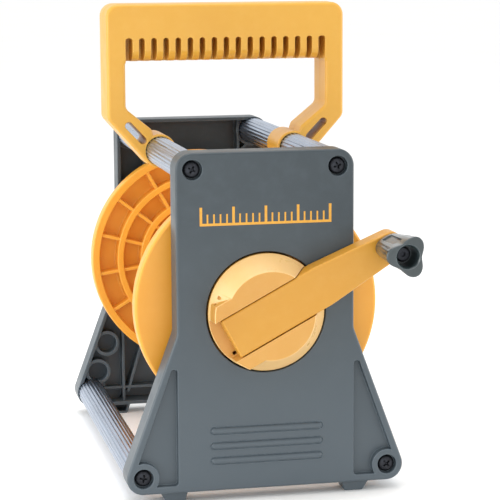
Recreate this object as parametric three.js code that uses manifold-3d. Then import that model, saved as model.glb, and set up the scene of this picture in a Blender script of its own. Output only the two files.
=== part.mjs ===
// Hand-cranked reel for a flat ribbon rod or a wide fish tape.
// Two identical A-shaped side frames are held apart by four aluminium tie tubes. The spool (two ribbed
// flanges on a core) turns in a large plain bearing in each frame, and is wound by an arm that lies in a
// channel of the front hub and carries a three-lobed knob. The carrying handle grips the two upper tubes.
// +X right, +Y towards the rear frame, +Z up. The origin is on the floor, at the middle of the overall
// box. The crank is on the -Y side. SIZE takes the drawing's units to millimetres.
import * as THREE from "three";
import { mergeVertices } from "three/addons/utils/BufferGeometryUtils.js";
import Module from "manifold-3d";

const wasm = await Module();
wasm.setup();

// ---------------------------------------------------------------- driving dimensions
const SIZE = 0.85; // millimetres in one unit of this drawing
const AXLE_Z = 135.8; // height of the spool axis above the floor
const FRAME_SPAN = 300; // outside face to outside face of the side frames
const KNOB_REACH = 61.5; // knob front ahead of the front frame's face
const BAR_H = 1.7; // raised bars on the frames' outside faces
const YF = -(FRAME_SPAN + BAR_H + KNOB_REACH) / 2 + KNOB_REACH; // front frame's outside face
const YR = YF + FRAME_SPAN; // rear frame's outside face

const FRAME_D = 21.5; // depth of a side frame, from its outside face to its rim
const SKIN = 3.2; // wall thickness of the side frames
const TUBE_TOP = [52.3, 102.5]; // tie tube and screw positions, from the axis
const TUBE_LOW = [89.3, -116.4];
const CORNER_R = 12; // a corner is concentric with its tube
const HALF_TOP = TUBE_TOP[0] + CORNER_R; // half width of the upright part of a frame
const TOP_Z = TUBE_TOP[1] + CORNER_R; // frame outline, above and below the axis
const KINK_Z = -14.2;
const BOTTOM_Z = TUBE_LOW[1] - CORNER_R;
// the outline's lower corner before rounding: the leg's edge is tangent to the corner's arc
const FOOT_X = (() => {
  const [dx, dz] = [TUBE_LOW[0] - HALF_TOP, TUBE_LOW[1] - KINK_Z];
  const a = Math.atan2(dz, dx) + Math.asin(CORNER_R / Math.hypot(dx, dz));
  return HALF_TOP + (BOTTOM_Z - KINK_Z) / Math.tan(a);
})();
const TUBE_R = 10.8;
const N_TUBE = 16;
const SEAT_R = 11.1; // tube seat in a frame, and tube bore of the handle
const BOSS_R = 13.6;
const SEAT_Y = 8.5; // tube seat's floor, from the outside face
const CBORE_R = 7;
const CBORE_Y = 5;
const COLLAR_Y = 17.2; // bearing collar's end
const RECESS_Y = 5.1; // depth of the leg recesses
const SOCKETS = [
  [75.2, -75.1],
  [83.2, -99.2],
];
const SCREW_R = 2.3;

const BORE_R = 45.3; // frame's bearing bore
const BUSH_RO = 45.0;
const BUSH_RI = 43.1;
const HUB_R = 42.3;
const HUB_TOP_R = 31.6; // flat top of the crank hub
const HUB_TOP_Y = -17.4; // ahead of the frame's face
const N_BORE = 32;

const FLANGE_R = 89.3;
const FLANGE_Y = 30; // flange's outside face, from the frame's outside face
const FLANGE_T = 13.4;
const WEB_T = 3;
const N_FLANGE = 32;
const RIBS = 16;
const CORE_R = 31.6;
const BOLT_PCR = 20; // radius on which the three spool bolts lie

const ARM_ANGLE = THREE.MathUtils.degToRad(27.95); // crank arm's direction at rest, above +X
const ARM_S0 = -32.7; // arm's inner end, along the arm from the axis
const ARM_S1 = 97; // knob's axis, along the arm
const ARM_W0 = 15.1; // arm's half width beside the hub
const ARM_W1 = 10.4; // and at the knob
const ARM_BEND = 42; // where the taper starts
const ARM_FACE = -17.2; // arm's outer face and back, from the front frame's face
const ARM_BACK = -1.7;
const CHANNEL_Y = -1.2; // floor of the hub's channel
const PIN_S = -29.7; // fold pin, along the arm
const PIN_Y = -8.9;
const PIN_R = 1.25;

const HANDLE_Y0 = 133.5; // handle's front face, from the front frame's face
const HANDLE_T = 38.2;
const HANDLE_TOP = 213.9; // above the axis
const HANDLE_W = 92.2; // half width outside and inside the grip opening
const HANDLE_IN = 77.4;
const GRIP_Z = 170.1; // underside of the grip
const RING_R = 13.6; // handle's rings on the upper tubes
const SLOTS = 17;
const SLOT_PITCH = 9.28;
const SLOT_W = 4.23;
const SLOT_TOP = 188;
const SLOT_D = 16;

// ---------------------------------------------------------------- solids from three.js geometry
function solid(geometry) {
  const g = geometry.index ? geometry.toNonIndexed() : geometry.clone();
  for (const name of Object.keys(g.attributes))
    if (name !== "position") g.deleteAttribute(name);
  const merged = mergeVertices(g, 1e-4);
  const idx = merged.index.array;
  const tris = [];
  for (let i = 0; i < idx.length; i += 3) {
    const [a, b, c] = [idx[i], idx[i + 1], idx[i + 2]];
    if (a !== b && b !== c && a !== c) tris.push(a, b, c);
  }
  const make = (t) =>
    new wasm.Manifold(
      new wasm.Mesh({
        numProp: 3,
        vertProperties: new Float32Array(merged.attributes.position.array),
        triVerts: new Uint32Array(t),
      }),
    );
  const made = make(tris);
  if (made.volume() >= 0) return made;
  for (let i = 0; i < tris.length; i += 3)
    [tris[i + 1], tris[i + 2]] = [tris[i + 2], tris[i + 1]];
  return make(tris);
}

function toGeometry(manifold) {
  const m = manifold.getMesh();
  const v = new Float32Array(m.numVert * 3);
  for (let i = 0; i < m.numVert; i++)
    v.set(m.vertProperties.subarray(i * m.numProp, i * m.numProp + 3), i * 3);
  const g = new THREE.BufferGeometry();
  g.setAttribute("position", new THREE.BufferAttribute(v, 3));
  g.setIndex(new THREE.BufferAttribute(new Uint32Array(m.triVerts), 1));
  g.computeVertexNormals();
  return g;
}

// Corner-rounded polygon. Each vertex is [x, z, radius]; inset moves every side inwards.
function rounded(points, inset = 0, segments = 4) {
  const n = points.length;
  let area = 0;
  for (let i = 0; i < n; i++) {
    const [a, b] = [points[i], points[(i + 1) % n]];
    area += a[0] * b[1] - b[0] * a[1];
  }
  const pts = area > 0 ? points : [...points].reverse(); // counter-clockwise
  const side = pts.map((p, i) => {
    const q = pts[(i + 1) % n];
    const d = new THREE.Vector2(q[0] - p[0], q[1] - p[1]).normalize();
    const nrm = new THREE.Vector2(-d.y, d.x); // inwards
    return { d, c: nrm.x * p[0] + nrm.y * p[1] + inset, nrm };
  });
  const out = [];
  for (let i = 0; i < n; i++) {
    const s0 = side[(i + n - 1) % n];
    const s1 = side[i];
    const det = s0.nrm.x * s1.nrm.y - s0.nrm.y * s1.nrm.x;
    const x = (s0.c * s1.nrm.y - s1.c * s0.nrm.y) / det;
    const y = (s0.nrm.x * s1.c - s1.nrm.x * s0.c) / det;
    const turn = s0.d.x * s1.d.y - s0.d.y * s1.d.x; // > 0 at a convex corner
    let r = (pts[i][2] || 0) + (turn > 0 ? -inset : inset);
    if (!(pts[i][2] > 0) || r < 0.05) {
      out.push(new THREE.Vector2(x, y));
      continue;
    }
    const ang = Math.acos(
      THREE.MathUtils.clamp(s0.d.x * s1.d.x + s0.d.y * s1.d.y, -1, 1),
    );
    const t = r * Math.tan(ang / 2);
    const a = new THREE.Vector2(x - s0.d.x * t, y - s0.d.y * t);
    const k = turn > 0 ? 1 : -1;
    const c = new THREE.Vector2(
      a.x + s0.nrm.x * r * k,
      a.y + s0.nrm.y * r * k,
    );
    const a0 = Math.atan2(a.y - c.y, a.x - c.x);
    for (let j = 0; j <= segments; j++) {
      const th = a0 + (k * ang * j) / segments;
      out.push(
        new THREE.Vector2(c.x + r * Math.cos(th), c.y + r * Math.sin(th)),
      );
    }
  }
  return out;
}

function ring2d(r, n, cx = 0, cz = 0, phase = 0) {
  const out = [];
  for (let i = 0; i < n; i++) {
    const a = phase + (2 * Math.PI * i) / n;
    out.push(new THREE.Vector2(cx + r * Math.cos(a), cz + r * Math.sin(a)));
  }
  return out;
}

// Outline with round ends about the line from a to b.
function capsule(a, b, r, n = 5) {
  const th = Math.atan2(b[1] - a[1], b[0] - a[0]);
  const out = [];
  for (let i = 0; i <= n; i++) {
    const t = th - Math.PI / 2 + (Math.PI * i) / n;
    out.push(
      new THREE.Vector2(b[0] + r * Math.cos(t), b[1] + r * Math.sin(t)),
    );
  }
  for (let i = 0; i <= n; i++) {
    const t = th + Math.PI / 2 + (Math.PI * i) / n;
    out.push(
      new THREE.Vector2(a[0] + r * Math.cos(t), a[1] + r * Math.sin(t)),
    );
  }
  return out;
}

// Prism of an (x, z) outline between two y positions, with an optional one-step edge bevel.
function prism(outline, y0, y1, bevel = 0, holes = []) {
  const shape = new THREE.Shape(outline);
  for (const h of holes) shape.holes.push(new THREE.Path(h));
  const g = new THREE.ExtrudeGeometry(shape, {
    depth: y1 - y0 - 2 * bevel,
    steps: 1,
    bevelEnabled: bevel > 0,
    bevelThickness: bevel,
    bevelSize: bevel,
    bevelOffset: -bevel,
    bevelSegments: 1,
  });
  g.rotateX(Math.PI / 2);
  g.translate(0, y1 - bevel, 0);
  return solid(g);
}

const cyl = (r, y0, y1, n = 16, x = 0, z = 0, phase = 0) =>
  prism(ring2d(r, n, x, z, phase), y0, y1);

function box(x0, x1, y0, y1, z0, z1) {
  const g = new THREE.BoxGeometry(x1 - x0, y1 - y0, z1 - z0);
  g.translate((x0 + x1) / 2, (y0 + y1) / 2, (z0 + z1) / 2);
  return solid(g);
}

// Closed (radius, y) profile turned about the Y axis.
function turned(profile, segments) {
  const pts = profile.map((p) => new THREE.Vector2(p[0], p[1]));
  if (profile[0][0] > 1e-6 || profile[profile.length - 1][0] > 1e-6)
    pts.push(pts[0].clone());
  return solid(new THREE.LatheGeometry(pts, segments));
}

const moved = (m, x = 0, y = 0, z = 0) => m.translate([x, y, z]);
const union = (...list) => list.reduce((a, b) => a.add(b));
const minus = (a, ...list) => list.reduce((x, y) => x.subtract(y), a);
const bothSides = (f) => union(f(1), f(-1));

// ---------------------------------------------------------------- materials
const finish = (color, roughness, metalness) =>
  new THREE.MeshStandardMaterial({ color, roughness, metalness });
const FRAME_GREY = finish(0x5d676c, 0.55, 0);
const REEL_YELLOW = finish(0xf2a43a, 0.45, 0);
const HANDLE_YELLOW = finish(0xf0ae4e, 0.45, 0);
const CRANK_YELLOW = finish(0xeaae4c, 0.42, 0);
const TUBE_ALUMINIUM = finish(0xa9b1bb, 0.38, 0.9);
const SCREW_BLACK = finish(0x1d1f22, 0.45, 0.6);
const BUSH_BLACK = finish(0x2a211b, 0.6, 0);
const STEEL = finish(0xb8babd, 0.35, 1);
const KNOB_GREY = finish(0x66747a, 0.45, 0);

const root = new THREE.Group();
function piece(name, manifold, material, parent = root) {
  const mesh = new THREE.Mesh(toGeometry(manifold), material);
  mesh.name = name;
  parent.add(mesh);
  return mesh;
}

// ---------------------------------------------------------------- side frame
// Built about the axis, with y measured inwards from the outside face.
function sideFrame() {
  const outline = [
    [HALF_TOP, TOP_Z, CORNER_R],
    [-HALF_TOP, TOP_Z, CORNER_R],
    [-HALF_TOP, KINK_Z, 14],
    [-FOOT_X, BOTTOM_Z, CORNER_R],
    [FOOT_X, BOTTOM_Z, CORNER_R],
    [HALF_TOP, KINK_Z, 14],
  ];
  const corners = [
    TUBE_TOP,
    [-TUBE_TOP[0], TUBE_TOP[1]],
    TUBE_LOW,
    [-TUBE_LOW[0], TUBE_LOW[1]],
  ];
  // recess in each leg's outside face
  const pocket = (k, grow) =>
    prism(
      rounded(
        [
          [k * 64.4, -38.6, 1.8],
          [k * 64.4, -122.8, 2.2],
          [k * 98.9, -122.8, 2.2],
          [k * 68.2, -38.6, 1.8],
        ],
        -grow,
        2,
      ),
      grow ? SKIN - 0.5 : -2,
      grow ? RECESS_Y + SKIN : RECESS_Y,
    );
  const shell = minus(
    prism(rounded(outline, 0, 4), 0, FRAME_D + 6, 1.2),
    box(-130, 130, FRAME_D, FRAME_D + 20, -160, 150),
    prism(rounded(outline, SKIN, 3), SKIN, FRAME_D + 4),
  );
  let m = shell;
  // pads behind the leg recesses, kept off the rim
  m = m.add(bothSides((k) => pocket(k, 2.4)));
  // bearing collar
  m = m.add(cyl(48.8, SKIN - 0.5, COLLAR_Y, N_BORE));
  // two round sockets in each leg
  for (const [x, z] of SOCKETS)
    m = m.add(bothSides((k) => cyl(10.4, SKIN - 0.5, 19.5, 12, k * x, z)));
  // stiffening ribs
  m = m.add(
    bothSides((k) =>
      box(
        Math.min(k * 60, k * 62),
        Math.max(k * 60, k * 62),
        SKIN - 0.5,
        17,
        BOTTOM_Z + 1,
        KINK_Z - 6,
      ),
    ),
  );
  m = m.add(box(-78, 78, SKIN - 0.5, 15.5, -115.5, -113.5));
  m = m.add(
    bothSides((k) =>
      prism(
        capsule([k * 56.7, -116.5], [k * 35.8, -49], 1, 2),
        SKIN - 0.5,
        15.5,
      ),
    ),
  );
  m = m.add(
    bothSides((k) =>
      prism(capsule([k * 40.4, 112.6], [k * 40.4, 25], 1, 2), SKIN - 0.5, 15),
    ),
  );
  // hollow feet
  const foot = (k, inset) =>
    rounded(
      [
        [k * 56, BOTTOM_Z + 1.5, 0],
        [k * 78.1, BOTTOM_Z + 1.5, 0],
        [k * 72.2, -AXLE_Z, 0.8],
        [k * 59, -AXLE_Z, 0.8],
      ],
      inset,
      1,
    );
  m = m.add(bothSides((k) => prism(foot(k, 0), 5, FRAME_D)));
  m = m.subtract(bothSides((k) => prism(foot(k, 1.8), 7.4, FRAME_D + 2)));
  // screw bosses with the tube seats
  const inside = prism(rounded(outline, 0.4, 4), 1, 16);
  for (const [x, z] of corners)
    m = m.add(cyl(BOSS_R, 1.6, 13.5, 16, x, z).intersect(inside));
  for (const [x, z] of corners)
    m = m.subtract(cyl(SEAT_R, SEAT_Y, FRAME_D + 3, N_TUBE, x, z));
  for (const [x, z] of corners)
    m = minus(
      m,
      cyl(CBORE_R, -2, CBORE_Y, 12, x, z),
      cyl(2.8, CBORE_Y - 0.2, SEAT_Y + 1, 8, x, z),
    );
  // leg recesses, stopping at the screw bosses
  m = m.subtract(
    bothSides((k) =>
      pocket(k, 0).subtract(
        cyl(11.3, -3, 12, 16, k * TUBE_LOW[0], TUBE_LOW[1]),
      ),
    ),
  );
  // blind ends of the round sockets
  for (const [x, z] of SOCKETS)
    m = m.subtract(bothSides((k) => cyl(8.1, 8, 30, 12, k * x, z)));
  // bearing bore
  m = m.subtract(cyl(BORE_R, -3, FRAME_D + 3, N_BORE));
  // raised bars
  for (const z of [-84.4, -95.3, -106.2])
    m = m.add(prism(capsule([-38.3, z], [38.3, z], 2, 2), -BAR_H, 0.5));
  return m;
}
const frameSolid = sideFrame();
const frontFrame = piece("front_side_frame", frameSolid, FRAME_GREY);
frontFrame.position.set(0, YF, AXLE_Z);
const rearFrame = piece("rear_side_frame", frameSolid, FRAME_GREY);
rearFrame.rotation.z = Math.PI;
rearFrame.position.set(0, YR, AXLE_Z);

// ---------------------------------------------------------------- bearing bushes
const bushSolid = turned(
  [
    [BUSH_RI, 0.2],
    [BUSH_RO, 0.2],
    [BUSH_RO, COLLAR_Y + 0.3],
    [48.4, COLLAR_Y + 0.3],
    [48.4, COLLAR_Y + 2.3],
    [BUSH_RI, COLLAR_Y + 2.3],
  ],
  N_BORE,
);
piece("front_bearing_bush", bushSolid, BUSH_BLACK).position.set(0, YF, AXLE_Z);
const rearBush = piece("rear_bearing_bush", bushSolid, BUSH_BLACK);
rearBush.rotation.z = Math.PI;
rearBush.position.set(0, YR, AXLE_Z);

// ---------------------------------------------------------------- tie tubes
// Extruded section: fluted wall, three webs and a central screw port.
function tubeSolid() {
  const y0 = SEAT_Y + 0.3;
  const y1 = FRAME_SPAN - SEAT_Y - 0.3;
  const cavity = (k) => {
    const out = [];
    const mid = (k * 2 * Math.PI) / 3 + Math.PI / 2;
    const arc = (r, half, n, sign) => {
      for (let i = 0; i <= n; i++) {
        const t = mid + sign * half * (-1 + (2 * i) / n);
        out.push(new THREE.Vector2(r * Math.cos(t), r * Math.sin(t)));
      }
    };
    arc(9.2, Math.PI / 3 - 0.09, 4, 1);
    arc(4.4, Math.PI / 3 - 0.19, 2, -1);
    return out;
  };
  return prism(ring2d(TUBE_R, N_TUBE), y0, y1, 0, [
    cavity(0),
    cavity(1),
    cavity(2),
    ring2d(2.6, 8),
  ]);
}
const tube = tubeSolid();
for (const [name, x, z] of [
  ["upper_left_tube", -TUBE_TOP[0], TUBE_TOP[1]],
  ["upper_right_tube", TUBE_TOP[0], TUBE_TOP[1]],
  ["lower_left_tube", -TUBE_LOW[0], TUBE_LOW[1]],
  ["lower_right_tube", TUBE_LOW[0], TUBE_LOW[1]],
])
  piece(name, tube, TUBE_ALUMINIUM).position.set(x, YF, AXLE_Z + z);

// ---------------------------------------------------------------- tie screws
// Cross-recessed pan head, sunk in its counterbore; y is measured inwards from the frame's face.
const screwSolid = (() => {
  const body = turned(
    [
      [0, 1.3],
      [4.8, 1.6],
      [6.1, CBORE_Y - 0.3],
      [SCREW_R, CBORE_Y - 0.3],
      [SCREW_R, 27],
      [0, 28],
    ],
    10,
  );
  return minus(
    body,
    box(-3, 3, -1, 3.2, -0.65, 0.65),
    box(-0.65, 0.65, -1, 3.2, -3, 3),
  );
})();
for (const [side, y, turn] of [
  ["front", YF, 0],
  ["rear", YR, Math.PI],
])
  for (const [where, x, z] of [
    ["upper_left", -TUBE_TOP[0], TUBE_TOP[1]],
    ["upper_right", TUBE_TOP[0], TUBE_TOP[1]],
    ["lower_left", -TUBE_LOW[0], TUBE_LOW[1]],
    ["lower_right", TUBE_LOW[0], TUBE_LOW[1]],
  ]) {
    const s = piece(`${side}_screw_${where}`, screwSolid, SCREW_BLACK);
    s.rotation.z = turn;
    s.position.set(x, y, AXLE_Z + z);
  }

// ---------------------------------------------------------------- carrying handle
function handleSolid() {
  const y0 = HANDLE_Y0;
  const y1 = HANDLE_Y0 + HANDLE_T;
  const outline = rounded(
    [
      [HANDLE_W, HANDLE_TOP, 8],
      [-HANDLE_W, HANDLE_TOP, 8],
      [-HANDLE_W, 126.7, 7],
      [-61.6, 92.2, 0],
      [-TUBE_TOP[0], TUBE_TOP[1], 0],
      [-58.1, 119.2, 5],
      [-HANDLE_IN, 135, 5],
      [-HANDLE_IN, GRIP_Z, 1.5],
      [HANDLE_IN, GRIP_Z, 1.5],
      [HANDLE_IN, 135, 5],
      [58.1, 119.2, 5],
      [TUBE_TOP[0], TUBE_TOP[1], 0],
      [61.6, 92.2, 0],
      [HANDLE_W, 126.7, 7],
    ],
    0,
    4,
  );
  let m = prism(outline, y0, y1, 1.6);
  // the grip's underside is rounded front and back
  const roundUnder = (sign) => {
    const edge = sign > 0 ? y0 : y1;
    const R = 14; // depth and height of the elliptic rounding
    const H = 8.7;
    const pts = [
      [edge - sign * 2, GRIP_Z - 2],
      [edge - sign * 2, GRIP_Z + H],
    ];
    for (let i = 0; i <= 4; i++) {
      const t = (Math.PI / 2) * (i / 4);
      pts.push([
        edge + sign * (R - R * Math.cos(t)),
        GRIP_Z + H - H * Math.sin(t),
      ]);
    }
    pts.push([edge + sign * R, GRIP_Z - 2]);
    const shape = new THREE.Shape(pts.map((p) => new THREE.Vector2(p[0], p[1])));
    const g = new THREE.ExtrudeGeometry(shape, {
      depth: 2 * HANDLE_IN,
      steps: 1,
      bevelEnabled: false,
    });
    // section (y, z) swept along x
    g.applyMatrix4(
      new THREE.Matrix4().set(0, 0, 1, -HANDLE_IN, 1, 0, 0, 0, 0, 1, 0, 0, 0, 0, 0, 1),
    );
    return solid(g);
  };
  m = minus(m, roundUnder(1), roundUnder(-1));
  for (const k of [1, -1]) {
    m = m.add(
      prism(ring2d(RING_R, 20, k * TUBE_TOP[0], TUBE_TOP[1]), y0, y1, 1.2),
    );
    m = m.subtract(
      cyl(SEAT_R, y0 - 2, y1 + 2, N_TUBE, k * TUBE_TOP[0], TUBE_TOP[1]),
    );
    m = m.subtract(
      prism(capsule([k * 75.8, 122], [k * 65.1, 110.8], 2.3, 4), y0 - 2, y1 + 2),
    );
  }
  // finger grooves: open at the bottom, round at the top, with a middle web
  for (let i = 0; i < SLOTS; i++) {
    const x = (i - (SLOTS - 1) / 2) * SLOT_PITCH;
    const a = i === 0 ? -HANDLE_IN : x - SLOT_W / 2;
    const b = i === SLOTS - 1 ? HANDLE_IN : x + SLOT_W / 2;
    const outline = rounded(
      [
        [a, GRIP_Z - 1, 0],
        [b, GRIP_Z - 1, 0],
        [b, SLOT_TOP, 1.9],
        [a, SLOT_TOP, 1.9],
      ],
      0,
      1,
    );
    m = minus(
      m,
      prism(outline, y0 - 1, y0 + SLOT_D),
      prism(outline, y1 - SLOT_D, y1 + 1),
    );
  }
  return m;
}
piece("carry_handle", handleSolid(), HANDLE_YELLOW).position.set(0, YF, AXLE_Z);

// ---------------------------------------------------------------- spool
const spool = new THREE.Group();
spool.position.set(0, 0, AXLE_Z);
root.add(spool);

// Flange about its outside face, ribs towards +y.
function flangeSolid() {
  let m = turned(
    [
      [12, 0],
      [FLANGE_R, 0],
      [FLANGE_R, FLANGE_T],
      [83.2, FLANGE_T],
      [83.2, WEB_T],
      [68.1, WEB_T],
      [68.1, FLANGE_T],
      [63.2, FLANGE_T],
      [63.2, WEB_T],
      [48.7, WEB_T],
      [48.7, FLANGE_T],
      [43.6, FLANGE_T],
      [43.6, WEB_T],
      [12, WEB_T],
    ],
    N_FLANGE,
  );
  for (let i = 0; i < RIBS; i++) {
    const a = ((i + 0.5) * 2 * Math.PI) / RIBS;
    const [c, s] = [Math.cos(a), Math.sin(a)];
    m = m.add(
      prism(
        [
          [32.3, -1.1],
          [84.2, -1.1],
          [84.2, 1.1],
          [32.3, 1.1],
        ].map(([u, v]) => new THREE.Vector2(u * c - v * s, u * s + v * c)),
        WEB_T - 0.5,
        FLANGE_T - 1.2,
      ),
    );
  }
  for (let i = 0; i < 3; i++) {
    const a = Math.PI / 2 + (i * 2 * Math.PI) / 3;
    m = m.subtract(
      cyl(2.9, -2, WEB_T + 2, 8, BOLT_PCR * Math.cos(a), BOLT_PCR * Math.sin(a)),
    );
  }
  return m;
}
const flange = flangeSolid();
piece("front_flange", flange, REEL_YELLOW, spool).position.y = YF + FLANGE_Y;
const rearFlange = piece("rear_flange", flange, REEL_YELLOW, spool);
rearFlange.rotation.z = Math.PI;
rearFlange.position.y = YR - FLANGE_Y;

// Core: a tube between the flange webs, with a shallow groove that takes the tape's end.
const coreY0 = YF + FLANGE_Y + WEB_T + 0.3;
const coreY1 = YR - FLANGE_Y - WEB_T - 0.3;
piece(
  "spool_core",
  minus(
    turned(
      [
        [28.5, coreY0],
        [CORE_R, coreY0],
        [CORE_R, coreY1],
        [28.5, coreY1],
      ],
      32,
    ),
    box(-1.3, 1.3, coreY0 + 12, coreY1 - 12, -CORE_R - 2, -CORE_R + 2),
  ),
  REEL_YELLOW,
  spool,
);

// Three bosses on the bolt circle of a hub, between two y positions.
const bolts = (r, y0, y1, n) =>
  union(
    ...[0, 1, 2].map((i) => {
      const a = Math.PI / 2 + (i * 2 * Math.PI) / 3;
      return cyl(r, y0, y1, n, BOLT_PCR * Math.cos(a), BOLT_PCR * Math.sin(a));
    }),
  );

// Crank hub: coned cap with the arm's channel, y from the front frame's face.
const armFrame = new THREE.Matrix4().makeRotationY(-ARM_ANGLE); // local +x runs along the arm
const onArm = (m) => m.transform(armFrame.elements);
const armHalf = (s) =>
  s < ARM_BEND
    ? ARM_W0
    : ARM_W0 + ((ARM_W1 - ARM_W0) * (s - ARM_BEND)) / (ARM_S1 - ARM_BEND);

function crankHubSolid() {
  let m = turned(
    [
      [0, HUB_TOP_Y],
      [HUB_TOP_R, HUB_TOP_Y],
      [HUB_R - 0.6, -1.6],
      [HUB_R, -0.8],
      [HUB_R, FLANGE_Y - 0.3],
      [39.2, FLANGE_Y - 0.3],
      [39.2, 2],
      [0, 2],
    ],
    N_BORE,
  );
  // the walls beside the arm's inner end run out to the hub's edge
  const band = prism(ring2d(40.9, N_BORE), HUB_TOP_Y, -1).intersect(
    onArm(box(-60, -7.8, HUB_TOP_Y - 1, 0, -25.7, 25.7)),
  );
  m = m.add(band);
  m = m.add(bolts(5, 1, FLANGE_Y - 0.3, 10));
  m = m.subtract(bolts(2.8, 6, FLANGE_Y + 1, 8));
  // channel
  const channel = onArm(
    prism(
      [
        new THREE.Vector2(-60, -ARM_W0 - 0.6),
        new THREE.Vector2(60, -ARM_W0 - 0.6),
        new THREE.Vector2(60, ARM_W0 + 0.6),
        new THREE.Vector2(-60, ARM_W0 + 0.6),
      ],
      -20,
      CHANNEL_Y,
    ),
  );
  m = m.subtract(channel);
  // small core-out pockets beside the arm's inner end
  m = m.subtract(
    onArm(
      union(
        box(ARM_S0 - 1.6, ARM_S0 + 1.6, -20, CHANNEL_Y + 1.6, -15.6, -12.4),
        box(ARM_S0 - 1.6, ARM_S0 + 1.6, -20, CHANNEL_Y + 1.6, 12.4, 15.6),
      ),
    ),
  );
  // fold pin's holes
  const hole = new THREE.CylinderGeometry(PIN_R + 0.3, PIN_R + 0.3, 60, 10);
  hole.rotateX(Math.PI / 2);
  hole.translate(PIN_S, PIN_Y, 0);
  return m.subtract(onArm(solid(hole)));
}
piece("crank_hub", crankHubSolid(), CRANK_YELLOW, spool).position.y = YF;

// Rear hub: plain dished cap with the three spool bolts, y from the rear frame's face.
const rearHub = piece(
  "rear_hub",
  minus(
    union(
      turned(
        [
          [0, 3],
          [28, 3],
          [31, -BAR_H],
          [HUB_R - 1.2, -BAR_H],
          [HUB_R, 0.2],
          [HUB_R, FLANGE_Y - 0.3],
          [39.2, FLANGE_Y - 0.3],
          [39.2, 6.4],
          [0, 6.4],
        ],
        N_BORE,
      ),
      bolts(6.6, 6, FLANGE_Y - 0.3, 10),
    ),
    bolts(4.9, -3, 9.2, 10),
    bolts(2.8, 8, FLANGE_Y + 1, 8),
  ),
  CRANK_YELLOW,
  spool,
);
rearHub.rotation.z = Math.PI;
rearHub.position.y = YR;

// Long bolts from the rear hub, through both flanges and the core, into the crank hub.
const boltSolid = turned(
  [
    [0, YF + 6.4],
    [2.45, YF + 6.4],
    [2.45, YR - 8.9],
    [4.4, YR - 8.9],
    [4.4, YR - 5.8],
    [3.6, YR - 5.2],
    [0, YR - 5.2],
  ],
  8,
);
for (let i = 0; i < 3; i++) {
  const a = Math.PI / 2 + (i * 2 * Math.PI) / 3;
  // the rear hub is turned half round, so its bosses and the front hub's share one circle about Y
  piece(`spool_bolt_${i + 1}`, boltSolid, STEEL, spool).position.set(
    BOLT_PCR * Math.cos(a),
    0,
    BOLT_PCR * Math.sin(a),
  );
}

// ---------------------------------------------------------------- crank
const crank = new THREE.Group();
crank.position.set(0, YF, 0);
crank.rotation.y = -ARM_ANGLE;
spool.add(crank);

// Arm: tapered channel section with a boss for the pin and one for the knob.
function armSolid() {
  const end = [];
  for (let i = 0; i <= 8; i++) {
    const t = -Math.PI / 2 + (Math.PI * i) / 8;
    end.push([ARM_S1 + ARM_W1 * Math.cos(t), ARM_W1 * Math.sin(t)]);
  }
  const outline = [
    [ARM_S0, -ARM_W0],
    [ARM_BEND, -ARM_W0],
    ...end,
    [ARM_BEND, ARM_W0],
    [ARM_S0, ARM_W0],
  ].map(
    (p) => new THREE.Vector2(...p),
  );
  const inner = [
    [ARM_S0 + 6.2, -ARM_W0 + 2.6],
    [ARM_BEND, -ARM_W0 + 2.6],
    [ARM_S1, -ARM_W1 + 2.4],
    [ARM_S1 + 5.6, -ARM_W1 + 4.8],
    [ARM_S1 + 7.7, 0],
    [ARM_S1 + 5.6, ARM_W1 - 4.8],
    [ARM_S1, ARM_W1 - 2.4],
    [ARM_BEND, ARM_W0 - 2.6],
    [ARM_S0 + 6.2, ARM_W0 - 2.6],
  ].map((p) => new THREE.Vector2(...p));
  let m = prism(outline, ARM_FACE, ARM_BACK);
  m = m.subtract(prism(inner, ARM_FACE + 3, ARM_BACK + 2));
  m = m.add(cyl(6.5, ARM_FACE + 1, -7, 12, ARM_S1, 0));
  m = m.subtract(cyl(2.8, ARM_FACE - 2, ARM_BACK + 2, 8, ARM_S1, 0));
  // rounded heel, so that the arm can swing up without touching the channel's floor
  const heel = [];
  const r = 3;
  heel.push([ARM_S0 - 1, ARM_BACK + 1]);
  for (let i = 0; i <= 4; i++) {
    const t = (Math.PI / 2) * (i / 4);
    heel.push([ARM_S0 + r - r * Math.cos(t), ARM_BACK - r + r * Math.sin(t)]);
  }
  heel.push([ARM_S0 + r, ARM_BACK + 1]);
  const hs = new THREE.ExtrudeGeometry(
    new THREE.Shape(
      [[ARM_S0 - 1, ARM_BACK - r], ...heel.slice(1), heel[0]].map(
        (p) => new THREE.Vector2(...p),
      ),
    ),
    { depth: 40, steps: 1, bevelEnabled: false },
  );
  hs.translate(0, 0, -20);
  m = m.subtract(solid(hs));
  const hole = new THREE.CylinderGeometry(PIN_R + 0.3, PIN_R + 0.3, 60, 10);
  hole.rotateX(Math.PI / 2);
  hole.translate(PIN_S, PIN_Y, 0);
  return m.subtract(solid(hole));
}
piece("crank_arm", armSolid(), CRANK_YELLOW, crank);

const pinGeometry = new THREE.CylinderGeometry(PIN_R, PIN_R, 38, 10);
pinGeometry.rotateX(Math.PI / 2);
pinGeometry.translate(PIN_S, PIN_Y, 0);
piece("crank_fold_pin", solid(pinGeometry), STEEL, crank);

// Shoulder bolt that the knob turns on, and its nut behind the arm's face.
piece(
  "knob_shoulder_bolt",
  turned(
    [
      [0, -48.6],
      [4.4, -48.6],
      [5.5, -47.6],
      [5.5, -44],
      [4, -44],
      [4, ARM_FACE - 0.3],
      [2.5, ARM_FACE - 0.3],
      [2.5, -2.8],
      [0, -2.8],
    ],
    12,
  ),
  SCREW_BLACK,
  crank,
).position.x = ARM_S1;
piece(
  "knob_nut",
  cyl(4.4, -6.7, -3.3, 6).subtract(cyl(2.8, -9, 2, 8)),
  STEEL,
  crank,
).position.x = ARM_S1;

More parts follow.
